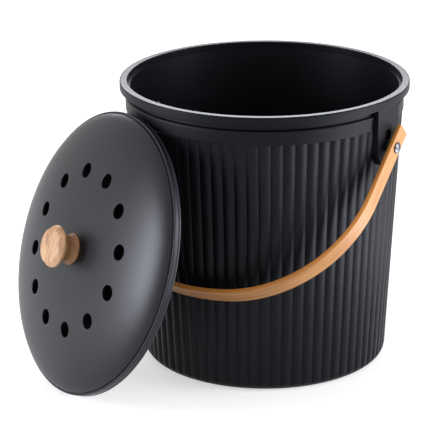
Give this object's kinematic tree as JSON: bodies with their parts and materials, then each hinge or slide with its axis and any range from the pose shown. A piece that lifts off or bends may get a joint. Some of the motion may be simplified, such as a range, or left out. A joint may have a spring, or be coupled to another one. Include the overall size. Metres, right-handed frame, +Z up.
{
  "type": "compost caddy",
  "caption": "Ribbed countertop compost bucket with a swinging bent-wood carry handle, and a loose vented lid with a wooden knob and a charcoal filter.",
  "frame": {"origin": "centre of the bucket's flat foot, on the surface that the caddy stands on", "axes": "+Z up along the bucket's axis, front is -Y, the lid leans on the front left and faces left and forward; the handle's pivot axis is turned 32 degrees from +X towards -Y"},
  "size_m": [0.3296, 0.2992, 0.239],
  "materials": {
    "body": "satin",
    "lid": "satin",
    "cover": "satin",
    "filter": "matte",
    "strap_wood": "satin",
    "knob_wood": "satin",
    "washer": "matte",
    "steel": "satin"
  },
  "bodies": {
    "bucket_body": {"bucket": "body", "right_ear": "body", "left_ear": "body", "right_ear_screw": "steel", "left_ear_screw": "steel", "right_rivet": "steel", "left_rivet": "steel", "right_washer": "washer", "left_washer": "washer", "right_rivet_cap": "steel", "left_rivet_cap": "steel"},
    "handle_body": {"handle_strap": "strap_wood"},
    "lid_body": {"lid": "lid", "filter_cover": "cover", "charcoal_filter": "filter", "knob": "knob_wood", "knob_screw": "steel", "knob_washer": "steel"}
  },
  "joints": [
    {"name": "handle_swing", "type": "hinge", "parent": "bucket_body", "child": "handle_body", "pos_m": [0, 0, 0.198], "axis": [-0.848, 0.5299, 0], "range_deg": [0, 268]},
    {"name": "lid_pull_away", "type": "slide", "parent": "bucket_body", "child": "lid_body", "axis": [-0.8006, -0.5003, 0.3297], "range_m": [0, 0.4]}
  ],
  "couplings": [
    {"joint": "handle_swing", "follows": "lid_pull_away", "rad_per_m": 11.693}
  ]
}
